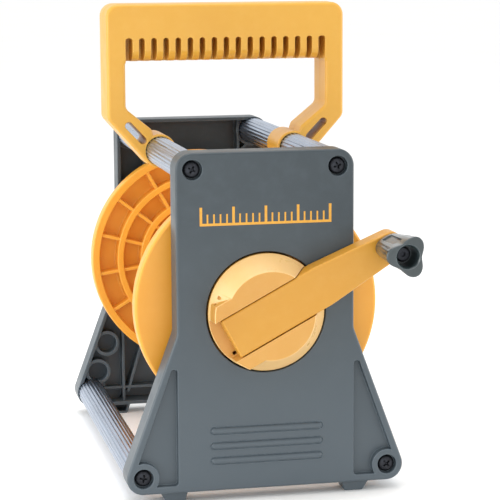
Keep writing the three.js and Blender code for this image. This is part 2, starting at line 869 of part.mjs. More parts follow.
// Three-lobed knob, flared towards its front, with a recess in each valley.
function knobSolid() {
  const n = 36;
  const phase = THREE.MathUtils.degToRad(57) - ARM_ANGLE;
  const stations = [
    [ARM_FACE - 0.9, 10.5, 0.5, 0],
    [-30.6, 11.2, 0.9, 0],
    [-KNOB_REACH + 1.2, 13.35, 2.13, 0],
    [-KNOB_REACH, 13.35, 2.13, -1],
  ]; // y, mean radius, lobe height, inset
  const pos = [];
  for (const [y, mean, lobe, inset] of stations)
    for (let i = 0; i < n; i++) {
      const a = (2 * Math.PI * i) / n;
      const r = mean + lobe * Math.cos(3 * (a - phase)) + inset;
      pos.push(r * Math.cos(a), y, r * Math.sin(a));
    }
  const last = stations.length - 1;
  pos.push(0, stations[0][0], 0, 0, stations[last][0], 0);
  const idx = [];
  for (let i = 0; i < n; i++) {
    const j = (i + 1) % n;
    for (let k = 0; k < last; k++) {
      const [a, b] = [k * n + i, k * n + j];
      idx.push(a, b, b + n, a, b + n, a + n);
    }
    idx.push(stations.length * n, j, i);
    idx.push(stations.length * n + 1, last * n + i, last * n + j);
  }
  const g = new THREE.BufferGeometry();
  g.setAttribute("position", new THREE.Float32BufferAttribute(pos, 3));
  g.setIndex(idx);
  let m = solid(g);
  m = m.subtract(cyl(7.3, -KNOB_REACH - 2, -43.5, 16));
  m = m.subtract(cyl(4.35, -50, -8, 12));
  for (let i = 0; i < 3; i++) {
    const a = phase + Math.PI / 3 + (i * 2 * Math.PI) / 3;
    const [c, s] = [Math.cos(a), Math.sin(a)];
    m = m.subtract(
      prism(
        [
          [8.6, -3.8],
          [16, -3.8],
          [16, 3.8],
          [8.6, 3.8],
        ].map(([u, v]) => new THREE.Vector2(u * c - v * s, u * s + v * c)),
        -51,
        ARM_FACE - 5.5,
      ),
    );
  }
  return m;
}
piece("crank_knob", knobSolid(), KNOB_GREY, crank).position.x = ARM_S1;

root.scale.setScalar(SIZE);

export default root;
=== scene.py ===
import bpy, bmesh, math
from mathutils import Matrix, Vector


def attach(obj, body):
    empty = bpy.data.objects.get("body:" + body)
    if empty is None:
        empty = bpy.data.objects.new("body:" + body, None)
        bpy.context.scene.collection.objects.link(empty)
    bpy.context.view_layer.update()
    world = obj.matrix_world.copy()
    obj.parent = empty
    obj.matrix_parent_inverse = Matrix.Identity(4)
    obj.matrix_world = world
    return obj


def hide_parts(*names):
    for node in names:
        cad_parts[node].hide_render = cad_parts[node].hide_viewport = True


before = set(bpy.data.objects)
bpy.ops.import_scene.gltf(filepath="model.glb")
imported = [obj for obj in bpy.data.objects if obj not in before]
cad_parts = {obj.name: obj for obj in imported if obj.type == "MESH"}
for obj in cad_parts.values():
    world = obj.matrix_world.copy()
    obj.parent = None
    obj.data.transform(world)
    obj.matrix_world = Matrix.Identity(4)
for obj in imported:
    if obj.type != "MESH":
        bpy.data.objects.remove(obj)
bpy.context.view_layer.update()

# ------------------------------------------------------------------ dimensions, mm, as in the CAD
K = 0.85  # millimetres in one drawing unit
YF, YR, AZ = -120.1, 179.9, 135.8
FRAME_D, SKIN = 21.5, 3.2
TUBE_TOP, TUBE_LOW = (52.3, 102.5), (89.3, -116.4)
CORNER_R, KINK_Z = 11.9, -14.2
HALF_TOP, TOP_Z, BOTTOM_Z = TUBE_TOP[0] + CORNER_R, TUBE_TOP[1] + CORNER_R, TUBE_LOW[1] - CORNER_R
_dx, _dz = TUBE_LOW[0] - HALF_TOP, TUBE_LOW[1] - KINK_Z
FOOT_X = HALF_TOP + (BOTTOM_Z - KINK_Z) / math.tan(math.atan2(_dz, _dx) + math.asin(CORNER_R / math.hypot(_dx, _dz)))
SEAT_Y, CBORE_Y, COLLAR_Y, RECESS_Y = 8.5, 5.0, 17.2, 5.1
SOCKETS = ((75.2, -75.1), (83.2, -99.2))
BORE_R, LIP_R, HUB_R, HUB_TOP_R, HUB_TOP_Y = 45.3, 43.3, 42.1, 31.6, -17.4
FLANGE_R, FLANGE_Y, FLANGE_T, WEB_T, CORE_R = 89.3, 30.0, 13.4, 3.0, 31.6
TH = math.radians(27.95)
ARM_S0, ARM_S1, ARM_W0, ARM_W1, ARM_FACE, ARM_BACK = -32.7, 97.0, 15.1, 10.4, -17.2, -1.7
ARM_BEND = 42.0
CHANNEL_Y, PIN_S, PIN_Y = -1.2, -29.7, -8.9
HY0, HT = 133.5, 38.2
H_TOP, H_W, H_IN, GRIP_Z, RING_R = 213.9, 92.2, 77.4, 170.1, 12.7
KNOB_Y = -61.5
BOLT_PCR = 20.0
CORNERS = {
    "upper_left": (-TUBE_TOP[0], TUBE_TOP[1]),
    "upper_right": (TUBE_TOP[0], TUBE_TOP[1]),
    "lower_left": (-TUBE_LOW[0], TUBE_LOW[1]),
    "lower_right": (TUBE_LOW[0], TUBE_LOW[1]),
}

# placements of a local frame (y inwards from an outside face, z from the axis) in the row frame, mm
FRONT = Matrix.Translation((0, YF, AZ))
REAR = Matrix.Translation((0, YR, AZ)) @ Matrix.Rotation(math.pi, 4, "Z")
ARM = FRONT @ Matrix.Rotation(-TH, 4, "Y")  # local +x runs along the arm


# ------------------------------------------------------------------ mesh tools
def rounded(points, inset=0.0, seg=8):
    """Corner-rounded polygon of [x, z, radius] vertices; inset moves every side inwards."""
    n = len(points)
    area = sum(points[i][0] * points[(i + 1) % n][1] - points[(i + 1) % n][0] * points[i][1] for i in range(n))
    pts = list(points) if area > 0 else list(reversed(points))
    side = []
    for i in range(n):
        p, q = pts[i], pts[(i + 1) % n]
        dx, dz = q[0] - p[0], q[1] - p[1]
        d = math.hypot(dx, dz)
        dx, dz = dx / d, dz / d
        nx, nz = -dz, dx
        side.append((dx, dz, nx, nz, nx * p[0] + nz * p[1] + inset))
    out = []
    for i in range(n):
        a, b = side[i - 1], side[i]
        det = a[2] * b[3] - a[3] * b[2]
        x = (a[4] * b[3] - b[4] * a[3]) / det
        z = (a[2] * b[4] - b[2] * a[4]) / det
        turn = a[0] * b[1] - a[1] * b[0]
        if not pts[i][2] > 0:
            out.append((x, z))
            continue
        r = max(pts[i][2] + (-inset if turn > 0 else inset), 0.02)
        ang = math.acos(max(-1, min(1, a[0] * b[0] + a[1] * b[1])))
        t = r * math.tan(ang / 2)
        sx, sz = x - a[0] * t, z - a[1] * t
        k = 1 if turn > 0 else -1
        cx, cz = sx + a[2] * r * k, sz + a[3] * r * k
        a0 = math.atan2(sz - cz, sx - cx)
        for j in range(seg + 1):
            th = a0 + k * ang * j / seg
            out.append((cx + r * math.cos(th), cz + r * math.sin(th)))
    return out


def circle(r, n=64, cx=0.0, cz=0.0, ph=0.0):
    return [(cx + r * math.cos(ph + 2 * math.pi * i / n), cz + r * math.sin(ph + 2 * math.pi * i / n)) for i in range(n)]


def capsule(a, b, r, n=10):
    th = math.atan2(b[1] - a[1], b[0] - a[0])
    out = [(b[0] + r * math.cos(th - math.pi / 2 + math.pi * i / n), b[1] + r * math.sin(th - math.pi / 2 + math.pi * i / n)) for i in range(n + 1)]
    out += [(a[0] + r * math.cos(th + math.pi / 2 + math.pi * i / n), a[1] + r * math.sin(th + math.pi / 2 + math.pi * i / n)) for i in range(n + 1)]
    return out


def make(name, verts, faces):
    me = bpy.data.meshes.new(name)
    me.from_pydata([tuple(v) for v in verts], [], faces)
    bm = bmesh.new()
    bm.from_mesh(me)
    bmesh.ops.remove_doubles(bm, verts=bm.verts, dist=1e-5)
    bmesh.ops.dissolve_degenerate(bm, edges=bm.edges, dist=1e-6)
    bmesh.ops.recalc_face_normals(bm, faces=bm.faces)
    if bm.calc_volume(signed=True) < 0:
        bmesh.ops.reverse_faces(bm, faces=bm.faces)
    bm.to_mesh(me)
    bm.free()
    o = bpy.data.objects.new(name, me)
    bpy.context.scene.collection.objects.link(o)
    return o


def loft(loops, name="loft"):
    """Closed solid through loops of equal length: [(outline (x, z), y), ...]."""
    verts, faces = [], []
    n = len(loops[0][0])
    for outline, y in loops:
        assert len(outline) == n
        verts += [(x, y, z) for x, z in outline]
    for k in range(len(loops) - 1):
        for i in range(n):
            j = (i + 1) % n
            faces.append((k * n + i, k * n + j, (k + 1) * n + j, (k + 1) * n + i))
    faces.append(tuple(reversed(range(n))))
    faces.append(tuple((len(loops) - 1) * n + i for i in range(n)))
    return make(name, verts, faces)


def block(points, steps, seg=8, name="block"):
    """Loft of one rounded polygon: steps are (inset, y)."""
    return loft([(rounded(points, i, seg), y) for i, y in steps], name)


def fillet(y, into, r, n=4, start=0.0):
    """(inset, y) steps of a rounded outer edge: from the face at y to the wall, into = +1 if the wall goes to larger y."""
    return [(start + r - r * math.sin(math.pi / 2 * k / n), y + into * (r - r * math.cos(math.pi / 2 * k / n))) for k in range(n + 1)]


def lathe(profile, n=96, name="lathe"):
    """Closed (radius, y) profile turned about Y."""
    verts, faces, rows = [], [], []
    for r, y in profile:
        if r < 1e-6:
            rows.append([len(verts)])
            verts.append((0, y, 0))
        else:
            rows.append(list(range(len(verts), len(verts) + n)))
            verts += [(r * math.cos(2 * math.pi * i / n), y, r * math.sin(2 * math.pi * i / n)) for i in range(n)]
    pairs = list(zip(rows, rows[1:]))
    if profile[0][0] > 1e-6 or profile[-1][0] > 1e-6:
        pairs.append((rows[-1], rows[0]))
    for a, b in pairs:
        for i in range(n):
            j = (i + 1) % n
            f = [a[i % len(a)], a[j % len(a)], b[j % len(b)], b[i % len(b)]]
            f = [v for k, v in enumerate(f) if v not in f[:k]]
            if len(f) > 2:
                faces.append(tuple(f))
    return make(name, verts, faces)


def soft(profile, r=0.5, n=3):
    """Rounds the corners of a (radius, y) profile that has [r, y] or [r, y, own radius]."""
    out = []
    m = len(profile)
    closed = profile[0][0] > 1e-6 or profile[-1][0] > 1e-6
    for i, p in enumerate(profile):
        rad = p[2] if len(p) > 2 else r
        if rad <= 0 or (not closed and i in (0, m - 1)):
            out.append((p[0], p[1]))
            continue
        a, b = profile[i - 1], profile[(i + 1) % m]
        va, vb = Vector((a[0] - p[0], a[1] - p[1])), Vector((b[0] - p[0], b[1] - p[1]))
        la, lb = va.length, vb.length
        va.normalize()
        vb.normalize()
        ang = va.angle(vb)
        if ang > math.radians(176):
            out.append((p[0], p[1]))
            continue
        t = min(rad / math.tan(ang / 2), la * 0.45, lb * 0.45)
        rr = t * math.tan(ang / 2)
        pa, pb = Vector(p[:2]) + va * t, Vector(p[:2]) + vb * t
        c = Vector(p[:2]) + (va + vb).normalized() * (rr / math.sin(ang / 2))
        a0 = math.atan2(pa.y - c.y, pa.x - c.x)
        a1 = math.atan2(pb.y - c.y, pb.x - c.x)
        d = (a1 - a0 + math.pi) % (2 * math.pi) - math.pi
        for k in range(n + 1):
            t2 = a0 + d * k / n
            out.append((c.x + rr * math.cos(t2), c.y + rr * math.sin(t2)))
    return out


def brick(x0, x1, y0, y1, z0, z1, name="brick"):
    return loft([([(x0, z0), (x1, z0), (x1, z1), (x0, z1)], y0), ([(x0, z0), (x1, z0), (x1, z1), (x0, z1)], y1)], name)


def moved(o, m):
    if not isinstance(m, Matrix):
        m = Matrix.Translation(m)
    o.data.transform(m)
    return o


def _boolean(a, b, op):
    m = a.modifiers.new("bool", "BOOLEAN")
    m.operation = op
    m.object = b
    before = len(a.data.polygons)
    for solver in ("MANIFOLD", "EXACT"):
        m.solver = solver
        dg = bpy.context.evaluated_depsgraph_get()
        me = bpy.data.meshes.new_from_object(a.evaluated_get(dg))
        if len(me.polygons) > 0 and len(me.polygons) != before:
            break
        if solver == "MANIFOLD":
            print("BOOL", op, a.name, b.name, "manifold gave", len(me.polygons), "from", before)
            bpy.data.meshes.remove(me)
    else:
        print("BOOL", op, a.name, b.name, "exact gave", len(me.polygons), "from", before)
    a.modifiers.clear()
    old = a.data
    a.data = me
    bpy.data.meshes.remove(old)
    bpy.data.objects.remove(b)
    return a


def add(a, *bs):
    for b in bs:
        _boolean(a, b, "UNION")
    return a


def cut(a, *bs):
    for b in bs:
        _boolean(a, b, "DIFFERENCE")
    return a


def common(a, b):
    return _boolean(a, b, "INTERSECT")


def copy(o, name):
    c = bpy.data.objects.new(name, o.data.copy())
    bpy.context.scene.collection.objects.link(c)
    return c


# ------------------------------------------------------------------ materials
def lin(h):
    v = [int(h[i : i + 2], 16) / 255 for i in (0, 2, 4)]
    return [x / 12.92 if x <= 0.04045 else ((x + 0.055) / 1.055) ** 2.4 for x in v] + [1.0]


class Mat:
    def __init__(self, name):
        self.m = bpy.data.materials.new(name)
        self.m.use_nodes = True
        self.t = self.m.node_tree
        self.b = self.t.nodes["Principled BSDF"]
        self.co = self.node("ShaderNodeTexCoord").outputs["Object"]

    def node(self, kind, **props):
        n = self.t.nodes.new(kind)
        for k, v in props.items():
            setattr(n, k, v)
        return n

    def link(self, a, b):
        self.t.links.new(a, b)

    def noise(self, scale, detail=3.0, rough=0.5, stretch=None, w=0.0):
        n = self.node("ShaderNodeTexNoise")
        n.inputs["Scale"].default_value = scale
        n.inputs["Detail"].default_value = detail
        n.inputs["Roughness"].default_value = rough
        if stretch or w:
            mp = self.node("ShaderNodeMapping")
            mp.inputs["Scale"].default_value = stretch or (1, 1, 1)
            mp.inputs["Location"].default_value = (w, w * 0.7, w * 1.3)
            self.link(self.co, mp.inputs["Vector"])
            self.link(mp.outputs[0], n.inputs["Vector"])
        else:
            self.link(self.co, n.inputs["Vector"])
        return n.outputs["Fac"]

    def ramp(self, fac, stops):
        r = self.node("ShaderNodeValToRGB")
        while len(r.color_ramp.elements) < len(stops):
            r.color_ramp.elements.new(0.5)
        for e, (p, c) in zip(r.color_ramp.elements, stops):
            e.position = p
            e.color = c if len(c) == 4 else (*c, 1)
        self.link(fac, r.inputs[0])
        return r.outputs[0]

    def mix(self, fac, a, b, mode="MIX"):
        n = self.node("ShaderNodeMix", data_type="RGBA", blend_type=mode)
        if isinstance(fac, (int, float)):
            n.inputs[0].default_value = fac
        else:
            self.link(fac, n.inputs[0])
        for v, i in ((a, 6), (b, 7)):
            if isinstance(v, (list, tuple)):
                n.inputs[i].default_value = v
            else:
                self.link(v, n.inputs[i])
        return n.outputs[2]

    def remap(self, v, lo, hi, a=0.3, b=0.7):
        n = self.node("ShaderNodeMapRange")
        n.inputs["From Min"].default_value, n.inputs["From Max"].default_value = a, b
        n.inputs["To Min"].default_value, n.inputs["To Max"].default_value = lo, hi
        self.link(v, n.inputs["Value"])
        return n.outputs[0]

    def bumps(self, layers, edge=0.0004):
        """layers: (height, strength, distance) on top of a small rounding of sharp edges."""
        bev = self.node("ShaderNodeBevel", samples=4)
        bev.inputs["Radius"].default_value = edge
        normal = bev.outputs[0]
        for h, s, d in layers:
            n = self.node("ShaderNodeBump")
            n.inputs["Strength"].default_value = s
            n.inputs["Distance"].default_value = d
            self.link(h, n.inputs["Height"])
            self.link(normal, n.inputs["Normal"])
            normal = n.outputs[0]
        self.link(normal, self.b.inputs["Normal"])

    def edges(self, radius=0.0009, lo=0.0, hi=0.25):
        """Mask of sharp edges for a painted highlight: where a wide bevel's normal leaves the surface's own."""
        bev = self.node("ShaderNodeBevel", samples=4)
        bev.inputs["Radius"].default_value = radius
        geo = self.node("ShaderNodeNewGeometry")
        dot = self.node("ShaderNodeVectorMath", operation="DOT_PRODUCT")
        self.link(bev.outputs[0], dot.inputs[0])
        self.link(geo.outputs["Normal"], dot.inputs[1])
        inv = self.node("ShaderNodeMapRange")
        inv.inputs["From Min"].default_value, inv.inputs["From Max"].default_value = 1.0 - lo, 1.0 - hi
        inv.inputs["To Min"].default_value, inv.inputs["To Max"].default_value = 0.0, 1.0
        self.link(dot.outputs["Value"], inv.inputs["Value"])
        return inv.outputs[0]


def plastic(name, base, dark, light, rough=0.45, grain=0.22, sss=0.0, sss_color=None, spec=0.5, edge=0.35, coat=0.0, low=None):
    m = Mat(name)
    big = m.noise(9, 3, 0.55)
    col = m.ramp(big, [(0.3, lin(dark)), (0.5, lin(base)), (0.72, lin(base))])
    mott = m.noise(140, 4, 0.6, w=3.1)
    col = m.mix(m.remap(mott, 0.0, 0.06, 0.45, 0.8), col, lin(light))
    flow = m.noise(30, 2, 0.5, stretch=(1.0, 1.0, 6.0), w=7.7)
    col = m.mix(m.remap(flow, 0.0, 0.10, 0.5, 0.75), col, lin(dark))
    if low:  # painted light: a little paler towards the floor, standing in for the lighting gradient down the face
        tc = m.node("ShaderNodeTexCoord")
        sp = m.node("ShaderNodeSeparateXYZ")
        m.link(tc.outputs["Object"], sp.inputs[0])
        col = m.mix(m.remap(sp.outputs[2], 1.0, 0.0, 0.02, 0.19), col, lin(low))
    # painted highlight: sharp edges are mixed towards the pale colour, standing in for light catching them
    edge_highlight_mask = m.edges()
    en = m.node("ShaderNodeMath", operation="MULTIPLY")
    m.link(edge_highlight_mask, en.inputs[0])
    en.inputs[1].default_value = edge
    col = m.mix(en.outputs[0], col, lin(light))
    m.link(col, m.b.inputs["Base Color"])
    r = m.remap(m.noise(60, 3, 0.6, w=1.3), rough - 0.05, rough + 0.07)
    m.link(r, m.b.inputs["Roughness"])
    fine = m.noise(1900, 2, 0.6)
    mid = m.noise(420, 2, 0.5, w=5.0)
    m.bumps([(mid, grain * 0.5, 0.00006), (fine, grain, 0.00004)])
    m.b.inputs["Specular IOR Level"].default_value = spec
    if sss:
        m.b.inputs["Subsurface Weight"].default_value = sss
        m.b.inputs["Subsurface Radius"].default_value = sss_color or (1.0, 0.45, 0.1)
        m.b.inputs["Subsurface Scale"].default_value = 0.002
    if coat:
        m.b.inputs["Coat Weight"].default_value = coat
        m.b.inputs["Coat Roughness"].default_value = 0.3
    return m.m


def metal(name, a, b, rough, stretch=(1, 0.02, 1), scale=900, metallic=1.0, bump=0.25):
    m = Mat(name)
    st = m.noise(scale, 3, 0.6, stretch=stretch)
    big = m.noise(14, 2, 0.5, w=2.0)
    col = m.mix(m.remap(st, 0, 1), lin(a), lin(b))
    col = m.mix(m.remap(big, 0, 0.18), col, lin(a))
    m.link(col, m.b.inputs["Base Color"])
    m.b.inputs["Metallic"].default_value = metallic
    m.link(m.remap(st, rough - 0.07, rough + 0.08), m.b.inputs["Roughness"])
    m.bumps([(st, bump, 0.00003)], 0.0002)
    return m.m


# frame: edge= sets the painted edge highlight, low= paints the face paler towards the floor as painted light
M_FRAME = plastic("frame_plastic", "353e43", "323b40", "74818a", rough=0.40, grain=0.20, edge=0.9, low="4a545b")
M_HANDLE = plastic("handle_plastic", "d29d38", "cd9732", "f2ca7a", rough=0.38, grain=0.16, sss=0.05, edge=0.5)
M_REEL = plastic("reel_plastic", "eaa335", "e49b2e", "fdcb72", rough=0.38, grain=0.14, sss=0.05, edge=0.5)
M_CRANK = plastic("crank_plastic", "ca9444", "c58d3d", "f2cd88", rough=0.36, grain=0.14, sss=0.05, edge=0.5)
M_ARM = plastic("crank_arm_plastic", "c68d2b", "c08626", "eec478", rough=0.36, grain=0.14, sss=0.05, edge=0.5)
# paler copy of the crank plastic, used as a painted reflection on the hub's cone
M_CONE_PAINTED_REFLECTION = plastic("crank_cone_painted_reflection", "e4bb7c", "e0b674", "f8dfb4", rough=0.30, grain=0.10, sss=0.05, edge=0.5)
M_KNOB = plastic("knob_plastic", "293436", "252f31", "87949b", rough=0.20, grain=0.10, edge=0.6, coat=0.6)
# partly painted shade: the bush is a real part, but its near-black colour also stands in for the shadow in the gap
# round the hub
M_BUSH = plastic("bush_plastic", "1b1512", "120e0c", "2c2420", rough=0.6, grain=0.2, edge=0.1)
M_TUBE = metal("tube_aluminium", "8794a6", "b4c0d2", 0.30)
M_SCREW = metal("black_screw", "222327", "383a40", 0.36, stretch=(1, 1, 1), scale=700, metallic=0.75, bump=0.3)
M_STEEL = metal("bright_steel", "b2b4b8", "d8dade", 0.28, stretch=(1, 0.2, 1), scale=800)


def print_paint():
    m = Mat("mark_print")
    n = m.noise(700, 4, 0.7)
    col = m.mix(m.remap(n, 0.0, 0.5, 0.35, 0.7), lin("dba03a"), lin("c48a2a"))
    m.link(col, m.b.inputs["Base Color"])
    m.link(m.remap(n, 0.5, 0.68), m.b.inputs["Roughness"])
    m.bumps([(n, 0.2, 0.00002)], 0.0001)
    return m.m


M_PRINT = print_paint()


def done(o, name, body, mat, nodes=(), place=None, sharp=38.0, mm=True):
    """Places a finished piece in metres, shades it, gives it its material and its body."""
    if place is not None:
        o.data.transform(place)
    if mm:
        o.data.transform(Matrix.Scale(0.001 * K, 4))
    o.name = name
    o.data.name = name
    me = o.data
    me.materials.clear()
    me.materials.append(mat)
    me.polygons.foreach_set("use_smooth", [True] * len(me.polygons))
    me.set_sharp_from_angle(angle=math.radians(sharp))
    wn = o.modifiers.new("weighted", "WEIGHTED_NORMAL")
    wn.keep_sharp = True
    wn.mode = "FACE_AREA"
    wn.weight = 80
    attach(o, body)
    if nodes:
        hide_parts(*nodes)
    return o


# ------------------------------------------------------------------ side frames
def frame_mesh():
    outline = [
        (HALF_TOP, TOP_Z, CORNER_R),
        (-HALF_TOP, TOP_Z, CORNER_R),
        (-HALF_TOP, KINK_Z, 14),
        (-FOOT_X, BOTTOM_Z, CORNER_R),
        (FOOT_X, BOTTOM_Z, CORNER_R),
        (HALF_TOP, KINK_Z, 14),
    ]
    steps = fillet(0, 1, 2.0, 7) + [(0, FRAME_D - 0.5), (0.15, FRAME_D - 0.15), (0.5, FRAME_D)]
    steps += [(2.4, FRAME_D), (2.75, FRAME_D - 0.15), (2.9, FRAME_D - 0.5), (3.2, 4.4), (3.5, 3.6), (4.3, 3.2)]
    m = block(outline, steps, 14, "side_frame")
    inner = block(outline, [(0.4, 1.0), (0.4, FRAME_D - 0.6)], 14)

    def pocket_pts(k):
        return [(k * 64.4, -38.6, 1.9), (k * 64.4, -122.8, 2.4), (k * 98.9, -122.8, 2.2), (k * 68.2, -38.6, 1.9)]

    for k in (1, -1):
        add(m, common(block(pocket_pts(k), [(-2.4, 2.5), (-2.4, RECESS_Y + 2.8)], 4), copy(inner, "c")))
    add(m, lathe([(0, 2.5), (48.8, 2.5), (48.8, COLLAR_Y - 0.5), (48.3, COLLAR_Y), (0, COLLAR_Y)], 128))
    # inner stiffening ribs, with a little draft
    def rib(a, b, half, top):
        return loft([(capsule(a, b, half + 0.25, 3), 2.5), (capsule(a, b, half, 3), top - 0.3), (capsule(a, b, half - 0.25, 3), top)])

    for k in (1, -1):
        add(m, common(rib((k * 61, BOTTOM_Z + 1), (k * 61, KINK_Z - 6), 1.1, 17), copy(inner, "c")))
        add(m, rib((k * 56.9, -117.5), (k * 35.8, -48), 1.1, 15.5))
        add(m, common(rib((k * 40.4, 113), (k * 40.4, 25), 1.0, 15), copy(inner, "c")))
        add(m, common(rib((k * 39, 83), (k * 54, 95), 0.9, 13), copy(inner, "c")))
    add(m, rib((-78, -114.5), (78, -114.5), 1.1, 15.5))
    for x, z in SOCKETS:
        for k in (1, -1):
            add(m, common(moved(lathe(soft([(0, 2.5), (10.9, 2.5), (10.7, 19.5, 0.4), (0, 19.5)]), 48), (k * x, 0, z)), copy(inner, "c")))
    # feet
    def foot(k, i):
        return rounded([(k * 56, BOTTOM_Z + 1.5, 0.3), (k * 78.1, BOTTOM_Z + 1.5, 0.3), (k * 72.2, -AZ, 1.0), (k * 59, -AZ, 1.0)], i, 4)

    for k in (1, -1):
        add(m, loft([(foot(k, i), y) for i, y in fillet(5.0, 1, 0.9, 3) + [(0, FRAME_D - 0.3), (0.3, FRAME_D)]]))
        cut(m, loft([(foot(k, 1.8), 7.4), (foot(k, 1.6), FRAME_D + 2)]))
    # screw bosses and tube seats
    for x, z in CORNERS.values():
        add(m, common(moved(lathe([(0, 1.6), (13.6, 1.6), (13.4, 13.5), (0, 13.5)], 64), (x, 0, z)), copy(inner, "c")))
    for x, z in CORNERS.values():
        cut(m, moved(lathe([(0, SEAT_Y), (11.1, SEAT_Y), (11.1, FRAME_D + 3), (0, FRAME_D + 3)], 64), (x, 0, z)))
        cut(m, moved(lathe([(0, -2), (7.6, -2), (7.6, 0), (7.35, 0.05), (7.1, 0.3), (7.0, 0.6), (6.9, CBORE_Y), (2.8, CBORE_Y), (2.8, SEAT_Y + 1), (0, SEAT_Y + 1)], 64), (x, 0, z)))
    # leg recesses, leaving the bosses round the screws standing
    for k in (1, -1):
        c = block(pocket_pts(k), [(-0.8, -2)] + [(-i, y) for i, y in fillet(0, 1, 0.8, 4)] + [(0, RECESS_Y - 0.6), (0.18, RECESS_Y - 0.18), (0.6, RECESS_Y)], 8)
        boss = moved(lathe([(0, -3), (10.4, -3), (10.4, 0), (10.94, 0.11), (11.2, 0.45), (11.3, 0.9), (11.5, 12), (0, 12)], 72), (k * TUBE_LOW[0], 0, TUBE_LOW[1]))
        cut(m, cut(c, boss))
    for x, z in SOCKETS:
        for k in (1, -1):
            cut(m, moved(lathe([(0, 8), (7.9, 8), (8.0, 19.0), (8.3, 19.6), (8.3, 30), (0, 30)], 48), (k * x, 0, z)))
    # bearing bore with its front lip
    cut(m, lathe([(0, -2), (44.0, -2), (44.0, 0), (43.7, 0.15), (LIP_R, 0.6), (LIP_R, 2.2), (BORE_R, 2.2), (BORE_R, FRAME_D + 3), (0, FRAME_D + 3)], 160))
    # raised bars
    for z in (-84.4, -95.3, -106.2):
        cut(m, loft([(capsule((-38.3, z), (38.3, z), r, 10), y) for r, y in ((3.2, -1.0), (3.2, 0.0), (2.95, 0.12), (2.8, 0.45))]))
        add(m, loft([(capsule((-38.3, z), (38.3, z), r, 10), y) for r, y in ((2.35, 1.6), (2.35, -0.02), (2.25, -0.5), (1.95, -1.0), (1.5, -1.4), (0.9, -1.65), (0.4, -1.7))]))
    bpy.data.objects.remove(inner)
    return m


front = frame_mesh()
rear = copy(front, "rear")
done(front, "side_frame_front", "stand", M_FRAME, ["front_side_frame"], FRONT)
done(rear, "side_frame_rear", "stand", M_FRAME, ["rear_side_frame"], REAR)

# graduation ticks printed on the front frame's face
ticks = []
for i in range(21):
    x = -46.5 + 4.65 * i
    tall = i % 5 == 0
    z0, z1, w = 64.0, 76.0 if tall else 71.0, 0.95 if tall else 0.6
    ticks.append(loft([([(x - w, z0), (x + w, z0), (x + w, z1), (x - w, z1)], y) for y in (0.05, -0.06)]))
ticks.append(loft([([(-47.45, 62.8), (47.45, 62.8), (47.45, 64.6), (-47.45, 64.6)], y) for y in (0.05, -0.06)]))
mark = ticks[0]
add(mark, *ticks[1:])
done(mark, "graduation_print", "stand", M_PRINT, (), FRONT)

# ------------------------------------------------------------------ bushes
for nm, P in (("front", FRONT), ("rear", REAR)):
    o = lathe(soft([(43.2, 2.5), (45.0, 2.5), (45.0, COLLAR_Y + 0.3), (48.4, COLLAR_Y + 0.3), (48.4, COLLAR_Y + 2.3), (43.2, COLLAR_Y + 2.3)], 0.3, 2), 128)
    done(o, f"bush_{nm}", "stand", M_BUSH, [f"{nm}_bearing_bush"], P)

# ------------------------------------------------------------------ tie tubes: fluted extrusion with a three-web section
def tube_mesh():
    n, flutes = 288, 24
    y0, y1 = SEAT_Y + 0.3, YR - YF - SEAT_Y - 0.3

    def ring(scale=1.0, d=0.0):
        pts = []
        for i in range(n):
            a = 2 * math.pi * i / n
            c = math.cos(a * flutes)
            r = 10.8 - 0.42 * (1 - max(0.0, min(1.0, 0.5 + 1.1 * c))) ** 1.2 - d
            pts.append((r * math.cos(a), r * math.sin(a)))
        return pts

    m = loft([(ring(d=0.3), y0), (ring(), y0 + 0.35), (ring(), y1 - 0.35), (ring(d=0.3), y1)])
    for k in range(3):
        mid = k * 2 * math.pi / 3 + math.pi / 2
        pts = []
        for r, half, s in ((9.2, math.pi / 3 - 0.09, 1), (4.4, math.pi / 3 - 0.19, -1)):
            for i in range(13):
                t = mid + s * half * (-1 + 2 * i / 12)
                pts.append((r * math.cos(t), r * math.sin(t)))
        cut(m, loft([(pts, y0 - 1), (pts, y1 + 1)]))
    return cut(m, lathe([(0, y0 - 1), (2.6, y0 - 1), (2.6, y1 + 1), (0, y1 + 1)], 32))


tube = tube_mesh()
for nm, (x, z) in CORNERS.items():
    done(copy(tube, nm), f"tie_tube_{nm}", "stand", M_TUBE, [f"{nm}_tube"], FRONT @ Matrix.Translation((x, 0, z)), 50)
bpy.data.objects.remove(tube)


# ------------------------------------------------------------------ screws
def screw_mesh():
    m = lathe([(0, 1.3), (1.5, 1.33), (3.0, 1.45), (4.3, 1.75), (5.2, 2.25), (5.8, 3.0), (6.1, 3.8), (6.1, 4.5), (5.95, 4.7), (2.3, 4.7), (2.3, 27), (1.2, 28), (0, 28)], 64)
    for a in (0, math.pi / 2):
        w = loft([([(-3.1, -0.72), (3.1, -0.72), (3.1, 0.72), (-3.1, 0.72)], -1), ([(-2.7, -0.62), (2.7, -0.62), (2.7, 0.62), (-2.7, 0.62)], 2.0), ([(-1.3, -0.5), (1.3, -0.5), (1.3, 0.5), (-1.3, 0.5)], 3.6)])
        cut(m, moved(w, Matrix.Rotation(a + 0.3, 4, "Y")))
    return cut(m, lathe([(0, -1), (1.5, -1), (1.25, 2.2), (0.3, 3.8), (0, 3.8)], 24))


screw = screw_mesh()
turns = {"upper_left": 0.2, "upper_right": 0.9, "lower_left": -0.15, "lower_right": 0.55}
for side, P in (("front", FRONT), ("rear", REAR)):
    for nm, (x, z) in CORNERS.items():
        s = copy(screw, nm)
        s.data.transform(Matrix.Rotation(turns[nm], 4, "Y"))
        done(s, f"screw_{side}_{nm}", "stand", M_SCREW, [f"{side}_screw_{nm}"], P @ Matrix.Translation((x if side == "front" else -x, 0, z)), 32)
bpy.data.objects.remove(screw)


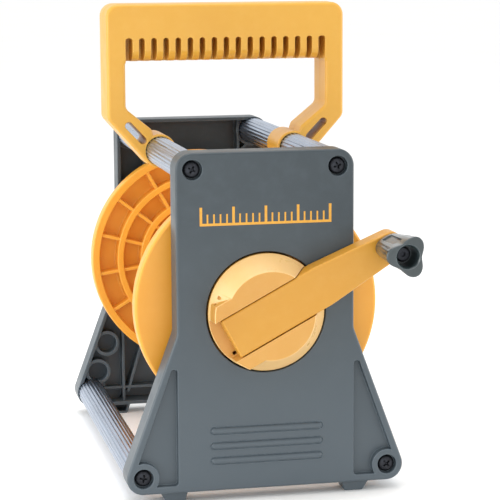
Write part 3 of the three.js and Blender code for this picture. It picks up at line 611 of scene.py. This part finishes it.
# ------------------------------------------------------------------ carrying handle
def handle_mesh():
    pts = [
        (H_W, H_TOP, 10),
        (-H_W, H_TOP, 10),
        (-H_W, 126.7, 8),
        (-61.6, 92.2, 0),
        (-TUBE_TOP[0], TUBE_TOP[1], 0),
        (-58.1, 119.2, 5),
        (-H_IN, 135.0, 6),
        (-H_IN, GRIP_Z, 2.2),
        (H_IN, GRIP_Z, 2.2),
        (H_IN, 135.0, 6),
        (58.1, 119.2, 5),
        (TUBE_TOP[0], TUBE_TOP[1], 0),
        (61.6, 92.2, 0),
        (H_W, 126.7, 8),
    ]
    y0, y1 = HY0, HY0 + HT
    mid = (y0 + y1) / 2
    half = [(i + 0.35, y) for i, y in fillet(y0, 1, 2.8, 6)] + [(0.12, mid - 0.5), (0.0, mid - 0.12)]
    back = [(i, y0 + y1 - y) for i, y in reversed(half)]
    m = block(pts, half + back, 10, "handle")
    # the grip's underside is rounded front and back
    R, H = 14.5, 9.2
    for s, edge in ((1, y0), (-1, y1)):
        prof = [(edge - s * 3, GRIP_Z - 3), (edge - s * 3, GRIP_Z + H)]
        prof += [(edge + s * (R - R * math.cos(math.pi / 2 * i / 16)), GRIP_Z + H - H * math.sin(math.pi / 2 * i / 16)) for i in range(17)]
        prof += [(edge + s * R, GRIP_Z - 3)]
        n = len(prof)
        w = H_IN - 0.1
        verts = [(x, y, z) for x in (-w, w) for y, z in prof]
        faces = [(i, (i + 1) % n, n + (i + 1) % n, n + i) for i in range(n)] + [tuple(range(n)), tuple(range(2 * n - 1, n - 1, -1))]
        cut(m, make("under", verts, faces))
    for k in (1, -1):
        ring = lathe(soft([(0, y0), (RING_R, y0, 1.2), (RING_R, y1, 1.2), (0, y1)], 1.2, 4), 72)
        add(m, moved(ring, (k * TUBE_TOP[0], 0, TUBE_TOP[1])))
        bore = lathe([(0, y0 - 2), (11.0, y0 - 2), (11.0, y1 + 2), (0, y1 + 2)], 72)
        cut(m, moved(bore, (k * TUBE_TOP[0], 0, TUBE_TOP[1])))
        a, b = (k * 75.8, 122.0), (k * 65.1, 110.8)
        cut(m, loft([(capsule(a, b, r, 10), y) for r, y in ((3.7, y0 - 2), (3.7, y0), (3.1, y0 + 0.2), (2.8, y0 + 0.8), (2.8, y1 - 0.8), (3.1, y1 - 0.2), (3.7, y1), (3.7, y1 + 2))]))
    # finger slots
    for i in range(17):
        x = (i - 8) * 9.28
        a = -H_IN if i == 0 else x - 2.12
        b = H_IN if i == 16 else x + 2.12
        o = [(a, GRIP_Z - 4, 0), (b, GRIP_Z - 4, 0), (b, 188.0, 2.05), (a, 188.0, 2.05)]
        for s, e in ((1, y0), (-1, y1)):
            cut(m, block(o, [(-0.55, e - s * 2), (-0.55, e), (-0.2, e + s * 0.12), (0.0, e + s * 0.5), (0.12, e + s * 15.5), (0.5, e + s * 16)], 8))
    return m


handle = handle_mesh()
done(handle, "carrying_handle", "stand", M_HANDLE, ["carry_handle"], FRONT)


# ------------------------------------------------------------------ spool
def flange_mesh(turn):
    prof = [
        (12, 0, 0.3), (FLANGE_R, 0, 2.4), (FLANGE_R, FLANGE_T, 1.2), (83.2, FLANGE_T, 0.7), (82.8, WEB_T, 1.2),
        (68.5, WEB_T, 1.2), (68.1, FLANGE_T, 0.7), (63.2, FLANGE_T, 0.7), (62.8, WEB_T, 1.2),
        (49.1, WEB_T, 1.2), (48.7, FLANGE_T, 0.7), (43.6, FLANGE_T, 0.7), (43.2, WEB_T, 1.2), (12, WEB_T, 0.3),
    ]
    m = lathe(soft(prof, 0.6, 4), 192)
    for i in range(16):
        a = (i + 0.5) * math.pi / 8 + turn
        sec = [(2.2, 2.0), (1.85, WEB_T + 0.4), (1.4, FLANGE_T - 1.9), (1.15, FLANGE_T - 1.35), (0.7, FLANGE_T - 1.2)]
        half = [(w, y) for w, y in sec] + [(-w, y) for w, y in reversed(sec)]
        n = len(half)
        verts = [(r, y, w) for r in (32.1, 84.2) for w, y in half]
        faces = [(j, (j + 1) % n, n + (j + 1) % n, n + j) for j in range(n)] + [tuple(range(n)), tuple(range(2 * n - 1, n - 1, -1))]
        add(m, moved(make("rib", verts, faces), Matrix.Rotation(-a, 4, "Y")))
    for i in range(3):
        a = math.pi / 2 + i * 2 * math.pi / 3
        cut(m, moved(lathe([(0, -2), (2.9, -2), (2.9, WEB_T + 2), (0, WEB_T + 2)], 24), (BOLT_PCR * math.cos(a), 0, BOLT_PCR * math.sin(a))))
    return m


fl = flange_mesh(-0.055)
fr = flange_mesh(0.055)
done(fl, "flange_front", "spool", M_REEL, ["front_flange"], FRONT @ Matrix.Translation((0, FLANGE_Y, 0)))
done(fr, "flange_rear", "spool", M_REEL, ["rear_flange"], REAR @ Matrix.Translation((0, FLANGE_Y, 0)))

cy0, cy1 = YF + FLANGE_Y + WEB_T + 0.3, YR - FLANGE_Y - WEB_T - 0.3
core = lathe(soft([(28.5, cy0), (CORE_R, cy0), (CORE_R, cy1), (28.5, cy1)], 0.4, 2), 128)
cut(core, brick(-1.3, 1.3, cy0 + 12, cy1 - 12, -CORE_R - 2, -CORE_R + 2))
done(core, "core", "spool", M_REEL, ["spool_core"], Matrix.Translation((0, 0, AZ)))


def half_w(s, extra=0.0):
    return ARM_W0 + (ARM_W1 - ARM_W0) * max(0.0, s - ARM_BEND) / (ARM_S1 - ARM_BEND) + extra


def hub_mesh():
    to_arm = Matrix.Rotation(-TH, 4, "Y")
    prof = [(0, HUB_TOP_Y), (HUB_TOP_R, HUB_TOP_Y, 1.2), (HUB_R - 0.7, -1.9, 0.9), (HUB_R, -0.7, 0.5), (HUB_R, FLANGE_Y - 0.3, 0.3), (39.2, FLANGE_Y - 0.3, 0.3), (39.2, 2, 0.5), (0, 2)]
    m = lathe(soft(prof, 0.6, 5), 192)
    band = lathe(soft([(0, HUB_TOP_Y), (40.5, HUB_TOP_Y, 0.8), (40.9, -1.0, 0.2), (0, -1.0)], 0.6, 4), 160)
    stops = [(-60, -25.7, 0), (-6, -25.7, 0), (-6, 25.7, 0), (-60, 25.7, 0)]
    lim = block(stops, [(0.7, HUB_TOP_Y), (0.2, HUB_TOP_Y + 0.2), (0, HUB_TOP_Y + 0.7), (-0.3, 0)], 1)
    add(m, common(band, moved(lim, to_arm)))
    for i in range(3):
        a = math.pi / 2 + i * 2 * math.pi / 3
        p = (BOLT_PCR * math.cos(a), 0, BOLT_PCR * math.sin(a))
        add(m, moved(lathe([(0, 1), (5, 1), (5, FLANGE_Y - 0.3), (0, FLANGE_Y - 0.3)], 40), p))
        cut(m, moved(lathe([(0, 6), (2.8, 6), (2.8, FLANGE_Y + 1), (0, FLANGE_Y + 1)], 32), p))
    ch = [(-60, -ARM_W0 - 0.6, 0), (60, -ARM_W0 - 0.6, 0), (60, ARM_W0 + 0.6, 0), (-60, ARM_W0 + 0.6, 0)]
    cut(m, moved(block(ch, [(-0.25, -20), (-0.25, HUB_TOP_Y), (0, HUB_TOP_Y + 0.25), (0, CHANNEL_Y - 0.5), (0.5, CHANNEL_Y)], 1), to_arm))
    cut(m, moved(brick(ARM_S0 - 2.5, ARM_S0 + 0.2, -20, 3, -15.1, -12.5), to_arm))
    cut(m, moved(brick(ARM_S0 - 1.6, ARM_S0 + 1.6, -20, CHANNEL_Y + 1.6, 12.4, 15.6), to_arm))
    hole = lathe([(0, -26), (1.55, -26), (1.55, 26), (0, 26)], 32)
    hole.data.transform(Matrix.Rotation(math.pi / 2, 4, "X"))
    cut(m, moved(hole, to_arm @ Matrix.Translation((PIN_S, PIN_Y, 0))))
    # witness dimple on the cone
    cut(m, moved(lathe([(0, -4), (1.6, -4), (1.3, 0.9), (0, 1.1)], 24), (-35.9, -7.1, 13.1)))
    return m


hub = hub_mesh()
done(hub, "hub_front", "spool", M_CRANK, ["crank_hub"], FRONT)
# painted reflection: the cone round the hub's flat top takes a paler copy of the crank plastic, standing in for the
# broad reflection on it
hub.data.materials.append(M_CONE_PAINTED_REFLECTION)
for p in hub.data.polygons:
    c, u = p.center * (1000 / K), p.normal
    r = math.hypot(c.x, c.z - AZ)
    out = (u.x * c.x + u.z * (c.z - AZ)) / max(r, 1e-6)
    # cone faces turned to the front and outwards get the painted reflection
    if r > 31.0 and c.y - YF < -0.6 and u.y < -0.25 and out > 0.45:
        p.material_index = 1

rh = lathe(soft([(0, 3), (28, 3, 1.8), (31, -1.7, 1.0), (HUB_R - 1.2, -1.7, 1.0), (HUB_R, 0.2, 0.6), (HUB_R, FLANGE_Y - 0.3, 0.3), (39.2, FLANGE_Y - 0.3, 0.3), (39.2, 6.4, 0.5), (0, 6.4)], 0.5, 4), 160)
bolt = lathe(soft([(0, YF + 6.4), (2.45, YF + 6.4), (2.45, YR - 8.9), (4.4, YR - 8.9, 0.2), (4.4, YR - 6.0, 0.8), (0, YR - 5.2)], 0.3, 4), 40)
cut(bolt, brick(-3.4, 3.4, YR - 6.6, YR + 2, -0.6, 0.6))
for i in range(3):
    a = math.pi / 2 + i * 2 * math.pi / 3
    p = (BOLT_PCR * math.cos(a), 0, BOLT_PCR * math.sin(a))
    add(rh, moved(lathe([(0, 6), (6.6, 6), (6.6, FLANGE_Y - 0.3), (0, FLANGE_Y - 0.3)], 40), p))
    cut(rh, moved(lathe([(0, -3), (5.3, -3), (5.3, 3.0), (4.9, 3.4), (4.9, 9.2), (2.8, 9.2), (2.8, FLANGE_Y + 1), (0, FLANGE_Y + 1)], 40), p))
    b = copy(bolt, "b")
    b.data.transform(Matrix.Rotation(0.5 + i, 4, "Y"))
    done(b, f"long_bolt_{i + 1}", "spool", M_STEEL, [f"spool_bolt_{i + 1}"], Matrix.Translation((p[0], 0, AZ + p[2])))
done(rh, "hub_rear", "spool", M_CRANK, ["rear_hub"], REAR)
bpy.data.objects.remove(bolt)


# ------------------------------------------------------------------ crank
def arm_mesh():
    e = ARM_S1 + ARM_W1
    w = half_w(e)
    pts = [(ARM_S0, -ARM_W0, 1.2), (ARM_BEND, -ARM_W0, 30), (e, -w, 7.8), (e, w, 7.8), (ARM_BEND, ARM_W0, 30), (ARM_S0, ARM_W0, 1.2)]
    m = block(pts, fillet(ARM_FACE, 1, 1.5, 6) + [(0, ARM_BACK - 0.3), (0.3, ARM_BACK)], 14)
    inner = [(ARM_S0 + 6.2, -ARM_W0 + 2.6, 1.5), (ARM_BEND, -ARM_W0 + 2.6, 30), (e - 2.6, -w + 2.4, 5.2), (e - 2.6, w - 2.4, 5.2), (ARM_BEND, ARM_W0 - 2.6, 30), (ARM_S0 + 6.2, ARM_W0 - 2.6, 1.5)]
    cut(m, block(inner, [(0.5, ARM_FACE + 3.0), (0, ARM_FACE + 3.5), (-0.2, ARM_BACK + 2)], 8))
    for s in (-6, 20, 46, 70):
        h = half_w(s) - 2.0
        add(m, brick(s - 0.8, s + 0.8, ARM_FACE + 2, ARM_BACK - 2.0, -h, h))
    add(m, moved(lathe([(0, ARM_FACE + 1), (6.5, ARM_FACE + 1), (6.5, -7), (0, -7)], 48), (ARM_S1, 0, 0)))
    cut(m, moved(lathe([(0, ARM_FACE - 2), (2.8, ARM_FACE - 2), (2.8, ARM_BACK + 2), (0, ARM_BACK + 2)], 32), (ARM_S1, 0, 0)))
    r = 3.0
    prof = [(ARM_S0 - 1, ARM_BACK - r)] + [(ARM_S0 + r - r * math.cos(math.pi / 2 * i / 8), ARM_BACK - r + r * math.sin(math.pi / 2 * i / 8)) for i in range(9)]
    prof += [(ARM_S0 + r, ARM_BACK + 1), (ARM_S0 - 1, ARM_BACK + 1)]
    n = len(prof)
    verts = [(x, y, z) for z in (-20, 20) for x, y in prof]
    faces = [(i, (i + 1) % n, n + (i + 1) % n, n + i) for i in range(n)] + [tuple(range(n)), tuple(range(2 * n - 1, n - 1, -1))]
    cut(m, make("heel", verts, faces))
    hole = lathe([(0, -26), (1.55, -26), (1.55, 26), (0, 26)], 32)
    hole.data.transform(Matrix.Rotation(math.pi / 2, 4, "X"))
    return cut(m, moved(hole, (PIN_S, PIN_Y, 0)))


done(arm_mesh(), "arm", "crank", M_ARM, ["crank_arm"], ARM)

pin = lathe(soft([(0, -19), (1.25, -19, 0.3), (1.25, 19, 0.3), (0, 19)], 0.3, 2), 32)
pin.data.transform(Matrix.Rotation(math.pi / 2, 4, "X"))
done(moved(pin, (PIN_S, PIN_Y, 0)), "fold_pin", "spool", M_STEEL, ["crank_fold_pin"], ARM)

kb = lathe(soft([(0, -48.6), (4.4, -48.6, 0.6), (5.5, -47.6, 0.4), (5.5, -44, 0.3), (4, -44), (4, ARM_FACE - 0.3), (2.5, ARM_FACE - 0.3), (2.5, -2.8, 0.4), (0, -2.8)], 0.2, 3), 48)
hexs = loft([(circle(2.0, 6), -50), (circle(2.0, 6), -46.4)])
done(moved(cut(kb, hexs), (ARM_S1, 0, 0)), "knob_bolt", "crank", M_SCREW, ["knob_shoulder_bolt"], ARM)
nut = loft([(circle(4.4, 6), -6.7), (circle(4.4, 6), -3.3)])
cut(nut, lathe([(0, -9), (2.8, -9), (2.8, 2), (0, 2)], 32))
done(moved(nut, (ARM_S1, 0, 0)), "knob_lock_nut", "crank", M_STEEL, ["knob_nut"], ARM)


def knob_mesh():
    n = 144
    ph = math.radians(57) - TH
    base, tip = ARM_FACE - 0.9, KNOB_Y
    keys = [(base, 10.2, 0.8), (-30.6, 10.85, 1.35), (-44, 11.9, 2.1), (tip, 12.8, 2.68)]

    def at(y):
        for (ya, ma, la), (yb, mb, lb) in zip(keys, keys[1:]):
            if y >= yb - 1e-6:
                f = (y - ya) / (yb - ya)
                return ma + (mb - ma) * f, la + (lb - la) * f
        return keys[-1][1:]

    ys = [(base, 0.5), (base - 0.15, 0.15), (base - 0.5, 0)] + [(base - 0.5 - (base - tip - 1.7) * k / 12, 0) for k in range(1, 13)]
    ys += [(tip + 1.2 - 1.2 * math.sin(math.pi / 2 * k / 4), 1.2 * (1 - math.cos(math.pi / 2 * k / 4))) for k in range(1, 5)]
    loops = []
    for y, i in ys:
        mean, lobe = at(y)
        ring = []
        for j in range(n):
            a = 2 * math.pi * j / n
            c = math.cos(3 * (a - ph))
            r = mean + lobe * c - i
            r += 0.26 * max(0.0, c + 0.3) / 1.3 * (math.cos(27 * (a - ph)) - 1) * (1 if tip + 2 < y < base - 1 else 0)
            ring.append((r * math.cos(a), r * math.sin(a)))
        loops.append((ring, y))
    m = loft(loops)
    cut(m, lathe([(0, tip - 2), (8.6, tip - 2), (8.6, tip), (8.3, tip + 0.3), (7.6, tip + 1.2), (7.3, tip + 2.2), (7.2, -43.5), (0, -43.5)], 96))
    cut(m, lathe([(0, -50), (4.35, -50), (4.35, -8), (0, -8)], 48))
    for k in range(3):
        a = ph + math.pi / 3 + k * 2 * math.pi / 3
        pts = [(-51, -3.8, 0.9), (-51, 3.8, 0.9), (ARM_FACE - 5.5, 3.8, 0.9), (ARM_FACE - 5.5, -3.8, 0.9)]
        o = rounded(pts, 0, 6)
        oo = rounded(pts, -0.5, 6)
        verts = [(r, y, z) for q, r in ((o, 8.6), (o, 10.4), (oo, 12.2), (oo, 17)) for y, z in q]
        nn = len(o)
        faces = [(k2 * nn + i, k2 * nn + (i + 1) % nn, (k2 + 1) * nn + (i + 1) % nn, (k2 + 1) * nn + i) for k2 in range(3) for i in range(nn)]
        faces += [tuple(range(nn)), tuple(range(4 * nn - 1, 3 * nn - 1, -1))]
        cut(m, moved(make("win", verts, faces), Matrix.Rotation(-a, 4, "Y")))
    return m


done(moved(knob_mesh(), (ARM_S1, 0, 0)), "grip_knob", "knob", M_KNOB, ["crank_knob"], ARM)

# ------------------------------------------------------------------ stage, light and camera
def stage():
    me = bpy.data.meshes.new("floor")
    n, s = 1, 30.0
    me.from_pydata([(-s, -s, 0), (s, -s, 0), (s, s, 0), (-s, s, 0)], [], [(0, 1, 2, 3)])
    o = bpy.data.objects.new("floor", me)
    bpy.context.scene.collection.objects.link(o)
    m = Mat("floor_paper")
    col = m.mix(m.remap(m.noise(3, 3), 0, 0.3), lin("fbfbfa"), lin("f6f6f5"))
    m.link(col, m.b.inputs["Base Color"])
    m.b.inputs["Roughness"].default_value = 0.9
    m.b.inputs["Specular IOR Level"].default_value = 0.1
    me.materials.append(m.m)


def area(name, loc, target, size, power, color=(1, 1, 1)):
    l = bpy.data.lights.new(name, "AREA")
    l.shape = "RECTANGLE"
    l.size, l.size_y = size
    l.energy = power
    l.color = color
    o = bpy.data.objects.new(name, l)
    bpy.context.scene.collection.objects.link(o)
    o.location = loc
    o.rotation_euler = (Vector(target) - Vector(loc)).to_track_quat("-Z", "Y").to_euler()
    return o


stage()
w = bpy.data.worlds.new("studio")
bpy.context.scene.world = w
w.use_nodes = True
w.node_tree.nodes["Background"].inputs[0].default_value = (1.0, 1.0, 1.0, 1)
w.node_tree.nodes["Background"].inputs[1].default_value = 1.05
area("left", (-1.3, -0.25, 0.45), (0, 0, 0.12), (0.9, 0.9), 10)
area("right", (1.25, -0.25, 0.35), (0, 0, 0.12), (0.9, 0.9), 6)
area("top", (-0.1, 0.08, 1.5), (0, 0, 0.2), (0.9, 0.9), 9)
area("low", (-0.1, -1.1, 0.12), (0, -0.15, 0.03), (0.8, 0.3), 1.2, (0.84, 0.93, 1.0))
bpy.context.scene.view_settings.view_transform = "Standard"

cam_d = bpy.data.cameras.new("camera")
cam = bpy.data.objects.new("camera", cam_d)
bpy.context.scene.collection.objects.link(cam)
bpy.context.scene.camera = cam
CAM = (-0.2132, -0.1546, -0.0058, -293.43, -1301.76, 252.43, 1918.36, 0.0, 0.0)
yaw, pitch, roll, cx, cyy, cz, f, shx, shy = CAM
fw = Vector((-math.sin(yaw) * math.cos(pitch), math.cos(yaw) * math.cos(pitch), math.sin(pitch)))
rt = Vector((math.cos(yaw), math.sin(yaw), 0))
up = rt.cross(fw)
rt2 = rt * math.cos(roll) + up * math.sin(roll)
up2 = up * math.cos(roll) - rt * math.sin(roll)
rot = Matrix((rt2, up2, -fw)).transposed()
cam.matrix_world = Matrix.Translation((K * cx / 1000, K * (cyy + YF) / 1000, K * (cz + AZ) / 1000)) @ rot.to_4x4()
cam_d.sensor_width = 36.0
cam_d.lens = f / 500 * 36.0
cam_d.shift_x, cam_d.shift_y = shx, shy
cam_d.clip_start, cam_d.clip_end = 0.05, 100
